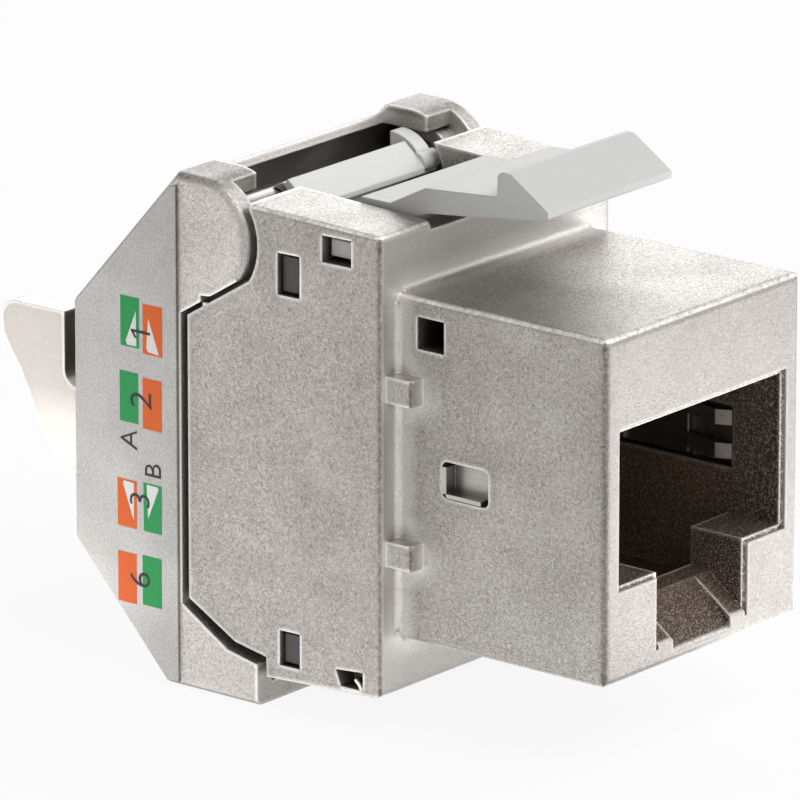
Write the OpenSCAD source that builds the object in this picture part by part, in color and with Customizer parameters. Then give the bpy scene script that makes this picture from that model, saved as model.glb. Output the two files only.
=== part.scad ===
// Shielded modular jack with a hinged rear cover, all sizes in millimetres.
// +X is to the right seen from the plug's side, +Y runs back along the cable, +Z is up.
// The origin is the centre of the front box, on the plane of the flange's front face.

/* [Panel box] */
// Width of the box that passes through the panel
box_width = 14.4; // [13:0.1:16]
// Height of that box
box_height = 16.4; // [15:0.1:18]
// How far the box stands in front of the flange
box_depth = 12; // [10:0.1:16]
// Radius of the box's four long edges
box_edge_r = 0.35; // [0.1:0.05:0.8]
// Radius of the edges round the box's front face
front_edge_r = 0.4; // [0.1:0.05:0.5]
// Radius of the fillet where the box meets the flange
flange_fillet = 0.33; // [0.1:0.01:0.6]
// Radius of the flange's outer edges
flange_edge_r = 0.3; // [0.1:0.05:0.4]
// Height of the fixed catch under the box
catch_height = 0.95; // [0.5:0.05:1.4]
// Panel thickness that the fixed catch takes
panel_grip = 2.05; // [1.2:0.05:2.6]
// Width of the fixed catch
catch_width = 6; // [4:0.1:8]

/* [Body] */
// How far the body's sides stand out past the box at the flange
side_overhang = 1.25; // [0.8:0.05:2]
// Height of the body's top edge above the box's centre, at the flange
top_rise = 11.1; // [10.6:0.1:12]
// Depth of the body's bottom edge below the box's centre, at the flange
bottom_drop = 10.85; // [10:0.05:12]
// Depth of the body behind the flange's front face
body_depth = 11.1; // [10.5:0.1:13]
// Draft of the body's four sides, in degrees
draft = 2; // [0.5:0.1:3]
// Thickness of the plate that carries the board, behind the flange's front face
board_seat = 2.5; // [2:0.1:3.2]
// Width of the two walls beside the latch, seen from above
wall_land = 3.6; // [3:0.1:4]
// Thickness of the rear chamber's floor
floor_wall = 1.25; // [0.9:0.05:1.6]
// Distance from the flange to the step in the underside
heel_depth = 6.6; // [5.8:0.1:7.4]
// Height of the step in the underside
heel_step = 0.95; // [0.5:0.05:1.5]
// Height of the underside's slope up to the rear edge
tail_rise = 2; // [1:0.1:2.6]

/* [Port] */
// Width of the plug opening
port_width = 12; // [11.7:0.05:12.6]
// Height of the opening's top edge above the box's centre
port_top = 3.62; // [3.2:0.02:4]
// Depth of the opening's two ledges below the box's centre
port_floor = 3.65; // [3.3:0.05:4]
// Width of the channel for the plug's tab
channel_width = 6.4; // [6:0.1:7]
// Depth of that channel below the box's centre
channel_floor = 7.1; // [6.6:0.05:7.3]
// Width of the slot in the channel's floor
slot_width = 4.3; // [3.5:0.1:5]
// Depth of the slot below the channel's floor
slot_step = 0.6; // [0.3:0.05:0.8]
// Thickness of the front wall that the ledges and the ramp are part of
ledge_depth = 3.15; // [2.5:0.05:4]
// Thickness of the front wall above the opening
port_lip = 1.2; // [0.8:0.1:2]
// Width of the step round the edge of the opening
port_step = 0.2; // [0.1:0.05:0.4]
// Height of the ramp's crest above the slot
ramp_rise = 2.25; // [1.5:0.05:2.6]

/* [Contacts] */
// Distance between two contacts
contact_pitch = 1.02; // [0.95:0.01:1.1]
// Width of a contact
contact_width = 0.42; // [0.3:0.02:0.5]
// Thickness of a contact
contact_thick = 0.3; // [0.2:0.02:0.4]
// How far the slanting arm of a contact falls
contact_fall = 2; // [1.4:0.05:2.2]
// Thickness of the contact carrier's rear wall
carrier_wall = 1.3; // [1:0.1:1.6]
// Height of the space above the opening for the contact carrier
carrier_height = 1.85; // [1.4:0.05:2.2]
// Clearance round pieces that are pushed into place
fit = 0.08; // [0.05:0.01:0.15]

/* [Board and terminals] */
// Thickness of the circuit board
board_thick = 1.6; // [1:0.1:2]
// Depth of the terminal block behind the board
block_depth = 4.1; // [3.5:0.1:4.4]
// Distance between two terminals of a row
terminal_pitch = 3.4; // [3:0.1:3.6]
// Distance of each terminal row from the middle
terminal_row = 5; // [4.6:0.1:5.4]
// Width of a terminal
terminal_width = 2.2; // [1.8:0.1:2.4]
// Thickness of a terminal
terminal_thick = 0.4; // [0.3:0.05:0.5]
// How far a terminal stands out of its block
terminal_reach = 1.3; // [0.8:0.1:1.6]
// Width of the cutting slot in a terminal
terminal_slot = 0.36; // [0.25:0.01:0.5]

/* [Hinge] */
// Distance of the hinge's axis ahead of the body's rear edge
pivot_inset = 0.9; // [0.5:0.05:1.1]
// Height of the hinge's axis above the box's centre
pivot_z = 9.45; // [9.3:0.05:9.7]
// Radius of the hinge pin
pin_r = 1.2; // [0.8:0.05:1.3]
// Running clearance between the pin and the body's knuckles
pin_fit = 0.05; // [0.02:0.01:0.1]
// Wall of the knuckles round the pin
knuckle_wall = 0.45; // [0.35:0.05:0.5]
// Radius of the ears' round lobes
lobe_r = 2.8; // [2.7:0.02:2.9]
// Gap between the lobes and the body's notches
lobe_gap = 0.38; // [0.36:0.02:0.7]

/* [Rear cover] */
// How far the cover's sides stand out past the body's rear edge
cover_proud = 0.16; // [0.1:0.01:0.4]
// Thickness of the cover's sides
cover_side = 1.05; // [0.8:0.05:1.2]
// Thickness of the cover's rear, slopes and bottom
cover_wall = 1; // [0.8:0.05:1.2]
// Distance of the cover's rear face behind the body's rear edge
cover_reach = 6.8; // [6.3:0.1:7.9]
// Height of the upper end of the rear face
rear_top = 5.1; // [4.4:0.1:6]
// Depth of the lower end of the rear face below the box's centre
rear_bottom = 6.45; // [6:0.1:7.5]
// Distance of the ears' top rear corners behind the body's rear edge
ear_reach = 0.5; // [0.2:0.05:0.6]
// Distance of the ears' front edges ahead of the hinge's axis
cap_front = 1.05; // [0.8:0.05:1.4]
// Width of each ear
ear_width = 2.8; // [2.4:0.1:3]
// How far the roof between the ears lies below their tops
roof_drop = 0.55; // [0.4:0.05:0.8]
// Height of the roof's sloping front edge
roof_face = 0.5; // [0.3:0.05:0.7]
// Depth of the cover's underside below the box's centre
cover_bottom = 12.5; // [12.3:0.1:13.5]
// Distance of the underside's rear corner behind the body's rear edge
bottom_reach = 1.2; // [0.7:0.1:1.9]
// Gap between the cover and the body
seam = 0.3; // [0.2:0.05:0.4]
// Radius of the cover's outer edges
cover_edge_r = 0.35; // [0.1:0.05:0.5]
// Thickness of the two side labels
label_thick = 0.1; // [0.05:0.01:0.15]
// Margin round the labels
label_margin = 0.2; // [0.1:0.05:0.4]

/* [Cable saddle] */
// Radius of the cable's hole in the cover
outlet_r = 3.9; // [3.4:0.05:4.2]
// Inner radius of the saddle behind it
cable_r = 4.25; // [3.8:0.05:4.6]
// Depth of the cable's axis below the box's centre
cable_drop = 1.1; // [0.6:0.05:1.4]
// Wall of the saddle
saddle_wall = 0.95; // [0.7:0.05:1.1]
// Length of the saddle's trough behind the cover
trough_length = 5.9; // [5:0.1:7]
// Distance of the saddle's side lugs behind the cover
lug_start = 3.85; // [3.2:0.05:4.2]
// Length of the side lugs
lug_length = 3.95; // [3.3:0.05:4.4]
// Height of the side lugs above the cable's axis
lug_height = 3.95; // [3.4:0.05:4.4]

/* [Panel latch] */
// Width of the latch
latch_width = 9.1; // [8.4:0.1:9.2]
// Distance of the latch's tip ahead of the flange
latch_tip = 6.55; // [5.8:0.05:7]
// Distance of the wedge's rear face ahead of the flange
wedge_back = 3.65; // [3.2:0.05:4]
// Height of the wedge's ridge above the latch's arm
wedge_rise = 1.2; // [0.8:0.05:1.4]
// Height of the arm's upper face at the wedge, above the box's centre
arm_top = 12.82; // [12.6:0.02:13.1]
// Distance of the latch's side studs behind the flange's front face
stud_y = 2.5; // [2.3:0.05:2.7]
// Height of the side studs above the box's centre
stud_z = 10.05; // [9.95:0.05:10.2]
// Length of the side studs' section
stud_length = 1.25; // [1:0.05:1.3]
// Height of the side studs' section
stud_height = 0.8; // [0.6:0.05:0.85]
// Thickness of the shelf under the latch
shelf_wall = 1; // [0.8:0.05:1.2]

/* [Wire manager] */
// Depth of the wire manager
manager_depth = 6.2; // [5:0.1:6.4]
// Half the length of the bar over the hinge pin
bar_half = 4.25; // [4:0.05:4.4]
// Thickness of that bar
bar_wall = 0.4; // [0.3:0.02:0.46]

/* [Ground springs] */
// Thickness of the ground springs' sheet
spring_thick = 0.25; // [0.15:0.01:0.3]
// Height of a spring
spring_height = 3; // [2.6:0.1:3.2]
// Distance of the springs' rear ends ahead of the flange
spring_start = 2.3; // [2:0.1:2.6]
// Length of the springs' pockets in the side walls
spring_length = 6.76; // [6.4:0.02:7]
// Depth of those pockets
spring_pocket = 0.7; // [0.5:0.05:0.8]
// Length of a spring's flat sheet, behind its fingers
sheet_length = 3.82; // [3.4:0.02:4.2]
// Height of each of the two fingers
finger_height = 0.74; // [0.6:0.02:0.8]
// Gap between the two fingers
finger_gap = 0.87; // [0.7:0.01:1]
// How far the fingers bend into the opening
finger_bend = 0.6; // [0.4:0.05:0.7]
// Height of the middle of the gap above the box's centre
finger_rise = 0.07; // [0:0.01:0.2]
// Length of the window that a spring's lip stands in
lip_window = 2.68; // [2.4:0.02:3]
// Height of that window
lip_window_high = 1.76; // [1.6:0.02:2]
// Distance of the window's middle ahead of the flange
lip_y = 3.94; // [3.7:0.02:4.2]
// Depth of the window's middle below the box's centre
lip_drop = 0.1; // [0:0.02:0.2]

/* [Hidden] */
$fn = 48;
eps = 0.01;
half_w = box_width / 2;
half_h = box_height / 2;
body_half = half_w + side_overhang;
slope = tan(draft);
body_half_rear = body_half + slope * body_depth;
channel_half = body_half - wall_land;
pivot_y = body_depth - pivot_inset;
cover_depth = body_depth + cover_reach;
ear_back = body_depth + ear_reach;
bottom_back = body_depth + bottom_reach;
port_half = port_width / 2;
face_y = -box_depth;
ledge_y = face_y + ledge_depth;
lip_back = face_y + port_lip;
insert_top = port_top + carrier_height;
chamber_half = half_w;
shelf_top = stud_z - stud_height / 2 - 0.65;
shelf_bottom = shelf_top - shelf_wall;
shelf_back = 4.6;
sill_y = 1;
sill_z = top_rise - 0.4;
chamber_low = -bottom_drop + floor_wall;
heel_z = -bottom_drop - slope * heel_depth + heel_step;
mid_y = heel_depth + 1.8;
mid_z = heel_z + 0.38;
tail_z = heel_z + tail_rise;
board_back = board_seat + board_thick;
block_back = board_back + block_depth;
manager_front = block_back + fit;
manager_back = manager_front + manager_depth;
notch_r = lobe_r + lobe_gap;
chord = 238;
lobe_chord = lobe_r - 0.16;
notch_chord = lobe_r + 0.06;
lobe_end = chord - acos(lobe_chord / lobe_r);
knuckle_r = pin_r + pin_fit + knuckle_wall;
keeper_r = knuckle_r + 0.32;
hinge_clear = keeper_r + 0.44;
rib_half = 1.5;
rib_wall = 0.47;
rib_set = 1.92;
ear_top = pivot_z + lobe_r;
cover_half = body_half_rear + cover_proud;
plate_in = cover_half - cover_side;
cap_in = cover_half - ear_width;
roof_z = ear_top - roof_drop;
cover_front = body_depth + seam;
slant_run = cover_depth - ear_back;
slant_fall = ear_top - rear_top;
cable_z = -cable_drop;
saddle_r = cable_r + saddle_wall;
stud_half = body_half - 0.35;
win_low_z = chamber_low + 1.0;

function chord_z(d, y) = pivot_z + d * sin(chord) - (y - pivot_y - d * cos(chord)) / tan(chord);
function slant_y(z) = ear_back + (ear_top - z) * slant_run / slant_fall;
function unit(v) = v / norm(v);
function side_normal(a, b) = [unit(b - a)[1], -unit(b - a)[0]];
function mitre(a, b, c, t) = b + t * (side_normal(a, b) + side_normal(b, c))
    / (1 + side_normal(a, b) * side_normal(b, c));
function wall_x(y) = body_half + slope * y;

// A profile drawn in (Y, Z), drawn out along X
module along_x(x0, x1) {
    translate([x0, 0, 0])
        rotate([90, 0, 90])
            linear_extrude(x1 - x0)
                children();
}

// A profile drawn in (X, Z), drawn out along Y
module along_y(y0, y1) {
    translate([0, y1, 0])
        rotate([90, 0, 0])
            linear_extrude(y1 - y0)
                children();
}

module both_sides() {
    children();
    mirror([1, 0, 0])
        children();
}

module block(x, y, z) {
    translate([x[0], y[0], z[0]])
        cube([x[1] - x[0], y[1] - y[0], z[1] - z[0]]);
}

module round_rect(w, h, r) {
    square([w - 2 * r, h], center = true);
    square([w, h - 2 * r], center = true);
    for (sx = [-1, 1])
        for (sz = [-1, 1])
            translate([sx * (w / 2 - r), sz * (h / 2 - r)])
                circle(r);
}

module fillet_2d(r) {
    difference() {
        translate([-eps, -eps])
            square(r + eps);
        translate([r, r])
            circle(r);
    }
}

// A box's outline from its rounded front at u = face_y back to the flange, h high in v
module nose_2d(h) {
    r = front_edge_r;
    translate([face_y + r, -h / 2])
        square([box_depth - r + eps, h]);
    translate([face_y, -h / 2 + r])
        square([box_depth, h - 2 * r]);
    for (m = [-1, 1])
        translate([face_y + r, m * (h / 2 - r)])
            circle(r);
}

// The front box with its edges rounded and a fillet at the flange
module panel_box() {
    intersection() {
        along_y(face_y, eps)
            round_rect(box_width, box_height, box_edge_r);
        along_x(-half_w, half_w)
            nose_2d(box_height);
        translate([0, 0, -half_h])
            linear_extrude(box_height)
                rotate(90)
                    nose_2d(box_width);
    }
    both_sides()
        translate([half_w, 0, -half_h + box_edge_r])
            rotate([0, 0, 270])
                linear_extrude(box_height - 2 * box_edge_r)
                    fillet_2d(flange_fillet);
    for (m = [0, 1])
        mirror([0, 0, m])
            translate([-half_w + box_edge_r, 0, half_h])
                rotate([90, 0, 90])
                    linear_extrude(box_width - 2 * box_edge_r)
                        mirror([1, 0])
                            fillet_2d(flange_fillet);
}

// The body's side view, with the draft of its top and bottom
module body_side() {
    r = flange_edge_r;
    for (z = [-bottom_drop + r, top_rise - r])
        translate([r, z])
            circle(r);
    polygon([[r, -bottom_drop],
        [0, -bottom_drop + r],
        [0, top_rise - r],
        [r, top_rise],
        [pivot_y, top_rise + slope * pivot_y],
        [body_depth, top_rise + slope * pivot_y],
        [body_depth, tail_z],
        [mid_y, mid_z],
        [heel_depth, heel_z],
        [heel_depth, -bottom_drop - slope * heel_depth]]);
}

module body_plan() {
    r = flange_edge_r;
    for (m = [-1, 1])
        translate([m * (body_half - r), r])
            circle(r);
    polygon([[-body_half, r],
        [-body_half + r, 0],
        [body_half - r, 0],
        [body_half, r],
        [body_half_rear, body_depth],
        [-body_half_rear, body_depth]]);
}

// A small block that stiffens the corner between the box's side and the flange, seen from above
module gusset_2d() {
    r = 0.25;
    w = 0.86;
    d = 1.47;
    translate([half_w - eps, -d + r])
        square([w + eps, d - r + eps]);
    translate([half_w - eps, -d])
        square([w - r + eps, d]);
    translate([half_w + w - r, -d + r])
        circle(r);
}

// Rounds the long upper edge of one wall in three flats, as it leans with the draft both ways
module wall_round() {
    r = flange_edge_r;
    c = r * cos(30) - r;
    translate([body_half, 0, top_rise])
        rotate([draft, 0, -draft])
            along_y(-1, body_depth)
                polygon([[-0.3 * c, -1.15 * r],
                    [c, -r / 2],
                    [-r / 2, c],
                    [-1.15 * r, -0.3 * c],
                    [-1.15 * r, r],
                    [r, r],
                    [r, -1.15 * r]]);
}

// What the ears' lobes turn in
module notch_2d() {
    translate([pivot_y, pivot_z])
        difference() {
            circle(notch_r);
            rotate(chord)
                translate([notch_chord, -3 * notch_r])
                    square(6 * notch_r);
        }
    polygon([[pivot_y, chord_z(notch_chord, pivot_y)],
        [body_depth + 1, chord_z(notch_chord, body_depth + 1)],
        [body_depth + 1, ear_top + 1],
        [pivot_y, ear_top + 1]]);
}

// The rear chamber's side view
module chamber_2d() {
    polygon([[board_seat, chamber_low],
        [board_seat, shelf_bottom],
        [board_back, shelf_bottom],
        [board_back, shelf_top + 0.6],
        [body_depth + 1, shelf_top + 0.6],
        [body_depth + 1, tail_z + 1.9],
        [mid_y, mid_z + floor_wall - 0.15],
        [heel_depth - 0.3, heel_z + floor_wall],
        [heel_depth - 0.8, chamber_low]]);
}

// The plug opening, grown by g on every side
module port_2d(g) {
    translate([-port_half - g, -port_floor - g])
        square([port_width + 2 * g, port_top + port_floor + 2 * g]);
    translate([-channel_width / 2 - g, -channel_floor - g])
        square([channel_width + 2 * g, channel_floor]);
    translate([-slot_width / 2 - g, -channel_floor - slot_step - g])
        square([slot_width + 2 * g, channel_floor]);
}

// The ramp at the bottom of the port, with a low slot along its middle
module ramp() {
    crest = -channel_floor - slot_step + ramp_rise;
    along_x(-channel_width / 2 - eps, channel_width / 2 + eps)
        polygon([[face_y, -channel_floor],
            [face_y + 2.1, crest - 0.1],
            [ledge_y, crest],
            [ledge_y, -half_h + eps],
            [face_y, -half_h + eps]]);
}

module ramp_slot() {
    crest = -channel_floor - slot_step + ramp_rise;
    along_x(-slot_width / 2, slot_width / 2)
        polygon([[face_y - eps, -channel_floor - slot_step],
            [face_y + 2.1, crest - 0.1],
            [face_y - eps, crest]]);
}

module port_cuts() {
    difference() {
        union() {
            along_y(face_y - eps, ledge_y + eps)
                port_2d(0);
            along_y(face_y - eps, face_y + port_step)
                port_2d(port_step);
        }
        ramp();
    }
    ramp_slot();
    block([-port_half, port_half], [ledge_y, board_seat + eps], [-channel_floor + 0.2, port_top]);
    block([-port_half, port_half], [lip_back, board_seat + eps], [port_top - eps, insert_top]);
}

// Where a ground spring lies in the box's side wall and shows through it
module spring_cuts() {
    block([port_half - eps, port_half + spring_pocket], [-spring_start - spring_length, -spring_start],
        [-spring_height / 2, spring_height / 2]);
    translate([port_half, -lip_y, -lip_drop])
        rotate([0, 90, 0])
            linear_extrude(half_w - port_half + 1)
                round_rect(lip_window_high, lip_window, 0.3);
}

// Windows in one side of the body
module side_windows() {
    out = cover_half + 1;
    block([chamber_half - 0.3, out], [4.6, 5.88], [shelf_top - 1.6, shelf_top + 0.4]);
    block([channel_half - eps, out], [stud_y - 0.85, stud_y + 0.83], [stud_z - 0.67, stud_z + 0.61]);
    block([chamber_half - 1.9, chamber_half], [board_back + 0.2, 6.0], [chamber_low - 0.8, chamber_low + 1]);
    block([chamber_half - 0.3, out], [4.65, 5.83], [chamber_low - 0.76, chamber_low + 0.94]);
    translate([chamber_half + 0.2, 0, 0])
        along_x(0, 4)
            difference() {
                polygon([[1.02, -bottom_drop + 0.18],
                    [1.02, -bottom_drop + 1.06],
                    [2.6, -bottom_drop + 0.95],
                    [2.3, -bottom_drop + 0.18]]);
                polygon([[1, -bottom_drop + 0.1],
                    [1, -bottom_drop + 0.22],
                    [1.18, -bottom_drop + 0.46],
                    [1.44, -bottom_drop + 0.7],
                    [1.52, -bottom_drop + 0.62],
                    [1.3, -bottom_drop + 0.4],
                    [1.16, -bottom_drop + 0.1]]);
            }
    block([half_w - 3.2, out], [-2.7, -1.14], [5.8, 7.33]);
}

// The two arms that carry the hinge pin
module knuckles() {
    both_sides()
        along_x(1.8, 3.8)
            difference() {
                union() {
                    translate([pivot_y, pivot_z])
                        circle(knuckle_r);
                    polygon([[shelf_back - 0.6, shelf_bottom],
                        [pivot_y, shelf_bottom],
                        [pivot_y, shelf_top],
                        [shelf_back - 0.6, shelf_top]]);
                }
                translate([pivot_y, pivot_z])
                    circle(pin_r + pin_fit);
                translate([pivot_y, pivot_z])
                    rotate(64)
                        translate([pin_r - 0.08, -3])
                            square(6);
            }
}

module front_housing() {
    color([0.72, 0.71, 0.69]) {
        difference() {
            union() {
                panel_box();
                intersection() {
                    along_x(-cover_half, cover_half)
                        body_side();
                    translate([0, 0, -cover_bottom])
                        linear_extrude(2 * cover_bottom)
                            body_plan();
                }
                both_sides()
                    for (z = [[3.22, 4.48], [-4.58, -3.36]])
                        translate([0, 0, z[0]])
                            linear_extrude(z[1] - z[0])
                                gusset_2d();
                along_x(-catch_width / 2, catch_width / 2)
                    polygon([[-panel_grip, -half_h + eps],
                        [-panel_grip, -half_h - catch_height],
                        [-panel_grip - 0.4, -half_h - catch_height],
                        [-panel_grip - 2.2, -half_h + eps]]);
            }
            port_cuts();
            along_x(-chamber_half, chamber_half)
                chamber_2d();
            along_x(-cover_half - 1, cover_half + 1)
                notch_2d();
            block([-channel_half, channel_half], [sill_y, body_depth + 1], [shelf_top, ear_top + 1]);
            block([-channel_half, channel_half], [-1, sill_y + eps], [sill_z, ear_top + 1]);
            block([-channel_half, channel_half], [shelf_back, body_depth + 1], [shelf_bottom - 1, ear_top + 1]);
            both_sides() {
                spring_cuts();
                side_windows();
                wall_round();
            }
        }
        knuckles();
    }
}

// The cover's side plates: the lobe round the hinge and the plate behind the body
module plate_2d() {
    translate([pivot_y, pivot_z])
        difference() {
            circle(lobe_r);
            rotate(chord)
                translate([lobe_chord, -3 * lobe_r])
                    square(6 * lobe_r);
        }
    polygon([[pivot_y, ear_top],
        [ear_back, ear_top],
        [cover_depth, rear_top],
        [cover_depth, -rear_bottom],
        [bottom_back, -cover_bottom],
        [heel_depth + seam, -cover_bottom],
        [heel_depth + seam, heel_z - 1.2 * seam],
        [mid_y + seam, mid_z - 1.2 * seam],
        [cover_front, tail_z - seam],
        [cover_front, chord_z(lobe_chord, cover_front)],
        [pivot_y, chord_z(lobe_chord, pivot_y)]]);
}

// The wall that joins the two plates, from the roof round to the lip under the body
module web_2d() {
    a = [slant_y(roof_z), roof_z];
    b = [cover_depth, rear_top];
    c = [cover_depth, -rear_bottom];
    d = [bottom_back, -cover_bottom];
    e = [heel_depth + seam, -cover_bottom];
    difference() {
        polygon([[a[0] - 0.6 * roof_face, roof_z - roof_face],
            a,
            b,
            c,
            d,
            e,
            e + [0, cover_wall],
            mitre(c, d, e, cover_wall) + [-0.05, 0],
            mitre(b, c, d, cover_wall),
            mitre(a, b, c, cover_wall),
            a + cover_wall * side_normal(a, b) + [-0.4, 0.2]]);
        translate([pivot_y, pivot_z])
            circle(hinge_clear);
    }
}

// The side view of the saddle that the cable is tied to
module saddle_side() {
    y0 = cover_depth + lug_start;
    y1 = y0 + lug_length;
    y2 = cover_depth + trough_length;
    top = cable_z + lug_height;
    difference() {
        union() {
            polygon([[cover_depth - cover_wall, cable_z + 0.35],
                [y0, cable_z + 0.35],
                [y0, top],
                [y1 - 1, top],
                [y1 - 0.2, top - 1],
                [y1 - 0.05, cable_z + 2.3],
                [y1 - 0.6, cable_z + 1.35],
                [y1 - 1.1, cable_z + 0.7],
                [y2 + 0.35, cable_z - 0.2],
                [y2, cable_z - 1.3],
                [y2, cable_z - saddle_r - 1],
                [cover_depth - cover_wall, cable_z - saddle_r - 1]]);
            translate([y1 - 1, top - 1])
                circle(1);
            translate([y0 - 0.8, cable_z + 0.35 - eps])
                square([0.8 + eps, 0.8]);
        }
        translate([y0 - 0.8, cable_z + 1.15])
            circle(0.8);
    }
}

module saddle() {
    intersection() {
        difference() {
            union() {
                along_y(cover_depth - cover_wall / 2, cover_depth + lug_start + lug_length + 1)
                    translate([0, cable_z])
                        circle(saddle_r);
                block([-saddle_r, saddle_r], [cover_depth - cover_wall / 2, cover_depth + lug_start + lug_length + 1],
                    [cable_z, cable_z + lug_height + 1]);
            }
            along_y(cover_depth, cover_depth + lug_start + lug_length + 2)
                translate([0, cable_z])
                    circle(cable_r);
            block([-cable_r, cable_r], [cover_depth, cover_depth + lug_start + lug_length + 2],
                [cable_z, cable_z + lug_height + 2]);
        }
        along_x(-saddle_r - 1, saddle_r + 1)
            saddle_side();
    }
}

// Rounds the outer edge of a side plate from a to b, with the plate on the right of that way
module edge_round(a, b, before, after) {
    translate([cover_half, a[0], a[1]])
        rotate([atan2(b[1] - a[1], b[0] - a[0]), 0, 0])
            along_y(-before, norm(b - a) + after)
                rotate(180)
                    fillet_2d(cover_edge_r);
}

// The rounding of one side plate, along its straight edges and round its lobe
module plate_rounds() {
    far = 2 * lobe_r;
    edge_round([pivot_y, ear_top], [ear_back, ear_top], 0, 1);
    edge_round([ear_back, ear_top], [cover_depth, rear_top], 1, 1);
    edge_round([cover_depth, rear_top], [cover_depth, -rear_bottom], 1, 1);
    edge_round([cover_depth, -rear_bottom], [bottom_back, -cover_bottom], 1, 1);
    edge_round([bottom_back, -cover_bottom], [heel_depth + seam, -cover_bottom], 1, 1);
    intersection() {
        translate([0, pivot_y, pivot_z])
            rotate([0, 90, 0])
                rotate_extrude()
                    translate([lobe_r, cover_half])
                        rotate(180)
                            fillet_2d(cover_edge_r);
        along_x(plate_in, cover_half + 1)
            translate([pivot_y, pivot_z])
                polygon([[0, 0],
                    [0, far],
                    [-far, far],
                    far * [cos(lobe_end), sin(lobe_end)]]);
    }
}

module rear_cover() {
    color([0.74, 0.73, 0.71])
        difference() {
            union() {
                both_sides()
                    along_x(plate_in, cover_half)
                        plate_2d();
                along_x(-plate_in - eps, plate_in + eps)
                    web_2d();
                both_sides()
                    along_x(cap_in, plate_in + eps)
                        intersection() {
                            plate_2d();
                            translate([pivot_y - cap_front, roof_z - 0.4])
                                square([slant_run, 4]);
                        }
                both_sides()
                    translate([plate_in - 0.9, pivot_y, pivot_z])
                        rotate([0, 90, 0])
                            cylinder(r = pin_r + 0.7, h = 0.9 + eps);
                saddle();
            }
            both_sides()
                plate_rounds();
            along_y(cover_depth - 3 * cover_wall, cover_depth + eps)
                translate([0, cable_z])
                    circle(outlet_r);
            translate([-cover_half + 0.5, pivot_y, pivot_z])
                rotate([0, 90, 0])
                    cylinder(r = pin_r + 0.01, h = 2 * cover_half);
        }
}

module hinge_pin() {
    color([0.8, 0.8, 0.82])
        translate([-cover_half + 0.55, pivot_y, pivot_z])
            rotate([0, 90, 0])
                cylinder(r = pin_r, h = 2 * cover_half - 0.65);
}

module latch_2d() {
    ridge_z = arm_top + wedge_rise;
    polygon([[stud_y + 1.8, shelf_top + 0.3],
        [stud_y + 1.8, stud_z + 1.37],
        [stud_y + 0.1, stud_z + 1.37],
        [stud_y - 1.95, arm_top - 0.34],
        [-wedge_back, arm_top],
        [-wedge_back, ridge_z - 0.35],
        [-wedge_back - 0.35, ridge_z],
        [-wedge_back - 0.75, ridge_z - 0.03],
        [-latch_tip, arm_top - 0.24],
        [-latch_tip, arm_top - 0.57],
        [-latch_tip + 1, arm_top - 0.77],
        [-2.1, arm_top - 1.22],
        [0.3, sill_z + 0.63],
        [sill_y + 0.25, sill_z + 0.3],
        [sill_y + 0.4, shelf_top + 0.3]]);
    translate([-wedge_back - 0.35, ridge_z - 0.35])
        circle(0.35);
}

module panel_latch() {
    color([0.84, 0.84, 0.83]) {
        along_x(-latch_width / 2, latch_width / 2)
            latch_2d();
        both_sides()
            block([latch_width / 2 - eps, stud_half], [stud_y - stud_length / 2, stud_y + stud_length / 2],
                [stud_z - stud_height / 2, stud_z + stud_height / 2]);
    }
}

// The black insert that the contacts lie on, with the comb for their tips
module contact_carrier() {
    back = board_seat;
    front = back - carrier_wall;
    top = insert_top - fit;
    run_top = port_top - 0.05;
    color([0.06, 0.06, 0.06])
        difference() {
            union() {
                block([-port_half + fit, port_half - fit], [front, back], [-channel_floor + 0.2 + fit, top]);
                block([-port_half + fit, port_half - fit], [lip_back + fit, back], [run_top, top]);
                block([-4.6, 4.6], [front - 1.6, front + eps], [run_top - contact_fall - 1, run_top - 0.9]);
            }
            for (i = [1:8])
                contact_at(i)
                    block([-contact_width / 2 - fit, contact_width / 2 + fit], [front - 2, back + eps],
                        [run_top - contact_fall - 2, run_top]);
        }
}

module contact_at(i) {
    translate([(i - 4.5) * contact_pitch, 0, 0])
        children();
}

// One spring contact: along the carrier, round the bend and down to the comb
module contact_2d() {
    t = contact_thick;
    top = port_top - 0.05 - fit;
    bend = lip_back + 1.6;
    tip = board_seat - carrier_wall - fit;
    low = top - t - contact_fall;
    polygon([[board_seat, top],
        [bend, top],
        [bend - 0.45, top - 0.3],
        [bend - 0.3, top - 0.75],
        [tip, low],
        [tip, low + t],
        [bend + 0.2, top - t - 0.2],
        [bend + 0.2, top - t],
        [board_seat, top - t]]);
}

module contact(i) {
    color([0.85, 0.68, 0.32])
        contact_at(i)
            along_x(-contact_width / 2, contact_width / 2)
                contact_2d();
}

module terminal_at(i) {
    row = i > 4 ? 1 : -1;
    place = (i - 1) % 4 - 1.5;
    translate([row * terminal_row, 0, place * terminal_pitch])
        children();
}

module circuit_board() {
    color([0.1, 0.3, 0.16])
        difference() {
            block([-chamber_half + fit, chamber_half - fit], [board_seat, board_back],
                [chamber_low + fit, shelf_bottom - fit]);
            for (i = [1:8])
                terminal_at(i)
                    translate([0, board_seat - 1, 0])
                        rotate([-90, 0, 0])
                            cylinder(r = terminal_thick / 2 + 0.2, h = board_thick + 2);
        }
}

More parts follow.
